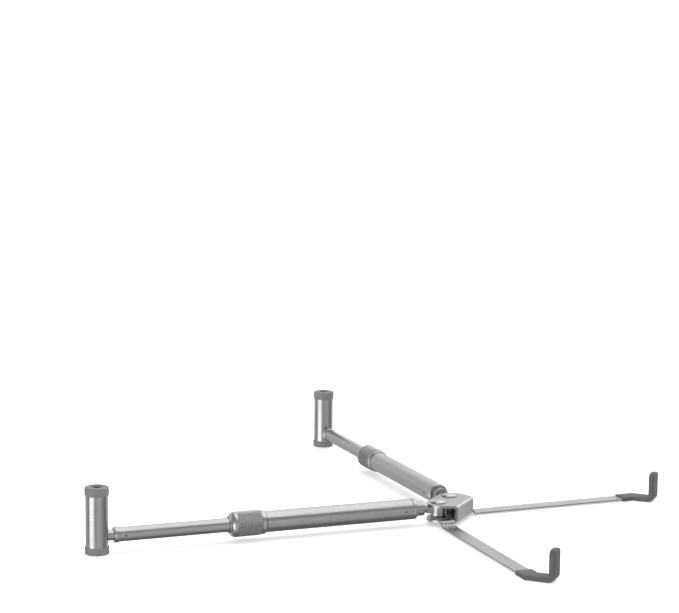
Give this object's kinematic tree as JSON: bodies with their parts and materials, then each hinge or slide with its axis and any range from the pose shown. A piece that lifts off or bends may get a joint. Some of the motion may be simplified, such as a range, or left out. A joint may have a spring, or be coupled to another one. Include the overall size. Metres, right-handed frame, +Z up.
{
  "type": "folding laptop stand",
  "caption": "Pocket laptop stand that folds: telescopic arms with rubber-capped posts and flat steel strips with rubber hooks, all pivoting on one small riveted bracket.",
  "frame": {"origin": "centre of the footprint at desk level", "axes": "+Z up, +X to the right seen from the front, -Y towards the hooks and the user, +Y towards the posts"},
  "size_m": [0.2874, 0.2262, 0.0335],
  "materials": {
    "brushed_steel": "brushed",
    "polished_steel": "polished",
    "anodised_aluminium": "satin",
    "dark_steel": "satin",
    "rubber": "matte"
  },
  "bodies": {
    "hub": {"hub_bracket": "brushed_steel", "left_rivet": "polished_steel", "left_washer": "dark_steel", "left_spring_washer": "dark_steel", "right_rivet": "polished_steel", "right_washer": "dark_steel", "right_spring_washer": "dark_steel"},
    "left_arm": {"left_knuckle": "anodised_aluminium", "left_tube_pin": "dark_steel", "left_outer_tube": "anodised_aluminium", "left_collet": "polished_steel"},
    "left_lock": {"left_collar": "anodised_aluminium"},
    "left_slider": {"left_guide_bush": "dark_steel"},
    "left_extension": {"left_inner_rod": "anodised_aluminium", "left_rod_pin": "dark_steel", "left_post_stud": "anodised_aluminium", "left_post": "anodised_aluminium", "left_top_cap": "rubber", "left_bottom_cap": "rubber", "left_top_screw": "dark_steel", "left_bottom_screw": "dark_steel"},
    "left_leg": {"left_strip": "brushed_steel", "left_hook_pad": "rubber"},
    "right_arm": {"right_knuckle": "anodised_aluminium", "right_tube_pin": "dark_steel", "right_outer_tube": "anodised_aluminium", "right_collet": "polished_steel"},
    "right_lock": {"right_collar": "anodised_aluminium"},
    "right_slider": {"right_guide_bush": "dark_steel"},
    "right_extension": {"right_inner_rod": "anodised_aluminium", "right_rod_pin": "dark_steel", "right_post_stud": "anodised_aluminium", "right_post": "anodised_aluminium", "right_top_cap": "rubber", "right_bottom_cap": "rubber", "right_top_screw": "dark_steel", "right_bottom_screw": "dark_steel"},
    "right_leg": {"right_strip": "brushed_steel", "right_hook_pad": "rubber"}
  },
  "joints": [
    {"name": "left_arm_fold", "type": "hinge", "parent": "hub", "child": "left_arm", "pos_m": [-0.008, -0.02265, 0.0068], "axis": [0, 0, -1], "range_deg": [0, 45]},
    {"name": "left_lock_turn", "type": "hinge", "parent": "left_arm", "child": "left_lock", "pos_m": [-0.08302, 0.05238, 0.0086], "axis": [0.7071, -0.7071, 0], "range_deg": [-20, 160]},
    {"name": "left_arm_slide", "type": "slide", "parent": "left_arm", "child": "left_slider", "axis": [0.7071, -0.7071, 0], "range_m": [-0.004, 0.0566]},
    {"name": "left_post_turn", "type": "hinge", "parent": "left_slider", "child": "left_extension", "pos_m": [-0.07518, 0.04453, 0.0086], "axis": [-0.7071, 0.7071, 0], "continuous": true},
    {"name": "left_leg_fold", "type": "hinge", "parent": "left_arm", "child": "left_leg", "pos_m": [-0.008, -0.02265, 0.0036], "axis": [0, 0, -1], "range_deg": [0, 85]},
    {"name": "right_arm_fold", "type": "hinge", "parent": "hub", "child": "right_arm", "pos_m": [0.008, -0.02265, 0.0068], "axis": [0, 0, 1], "range_deg": [0, 45]},
    {"name": "right_lock_turn", "type": "hinge", "parent": "right_arm", "child": "right_lock", "pos_m": [0.08302, 0.05238, 0.0086], "axis": [-0.7071, -0.7071, 0], "range_deg": [-20, 160]},
    {"name": "right_arm_slide", "type": "slide", "parent": "right_arm", "child": "right_slider", "axis": [-0.7071, -0.7071, 0], "range_m": [-0.004, 0.0566]},
    {"name": "right_post_turn", "type": "hinge", "parent": "right_slider", "child": "right_extension", "pos_m": [0.07518, 0.04453, 0.0086], "axis": [0.7071, 0.7071, 0], "continuous": true},
    {"name": "right_leg_fold", "type": "hinge", "parent": "right_arm", "child": "right_leg", "pos_m": [0.008, -0.02265, 0.0036], "axis": [0, 0, 1], "range_deg": [0, 85]}
  ]
}
